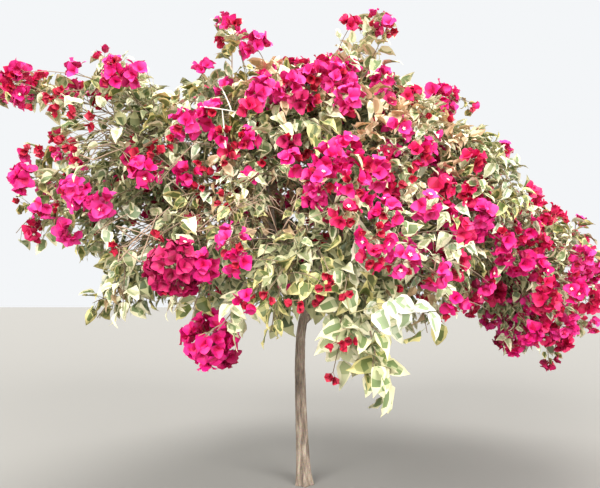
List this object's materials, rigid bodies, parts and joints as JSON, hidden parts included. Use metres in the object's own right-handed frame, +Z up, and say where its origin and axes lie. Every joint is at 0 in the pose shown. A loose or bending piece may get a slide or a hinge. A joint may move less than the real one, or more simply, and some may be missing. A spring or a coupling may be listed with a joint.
{
  "type": "bougainvillea bush",
  "caption": "Flowering garden shrub grown as a standard: one bare trunk with a root flare, arching boughs and a wide weeping crown of variegated leaves and magenta bracts.",
  "frame": {"origin": "middle of the trunk's flat cut at ground level", "axes": "+Z up along the trunk, +X to the right across the crown's widest way, -Y out of the crown's fullest side"},
  "size_m": [1.9967, 1.2954, 1.4986],
  "materials": {
    "bark": "rough, vertically fissured grey-brown bark",
    "leaf": "sage green leaf with a cream margin, satin",
    "bract": "papery magenta bract, matt"
  },
  "bodies": {
    "root": {"trunk": "bark", "bough_right_1": "bark", "bough_back_1": "bark", "bough_front_1": "bark", "bough_right_2": "bark", "bough_left_1": "bark", "bough_shoulder_1": "bark", "bough_top_6": "bark", "bough_back_2": "bark", "bough_low_left_1": "bark", "bough_right_3": "bark", "bough_left_2": "bark", "bough_top_1": "bark", "bough_back_3": "bark", "bough_left_3": "bark", "bough_shoulder_2": "bark", "bough_top_2": "bark", "bough_top_3": "bark", "bough_top_4": "bark", "bough_left_4": "bark", "bough_top_5": "bark", "foliage_right_1": "bract", "foliage_back_1": "leaf", "foliage_front_1": "leaf", "foliage_right_2": "leaf", "foliage_left_1": "leaf", "foliage_shoulder_1": "bract", "foliage_back_2": "bract", "foliage_low_left_1": "leaf", "foliage_right_3": "leaf", "foliage_left_2": "leaf", "foliage_top_1": "bract", "foliage_back_3": "leaf", "foliage_left_3": "leaf", "foliage_shoulder_2": "leaf", "foliage_top_2": "leaf", "foliage_top_3": "bract", "foliage_top_4": "leaf", "foliage_left_4": "leaf", "foliage_top_5": "bract", "foliage_top_6": "leaf"}
  },
  "joints": []
}
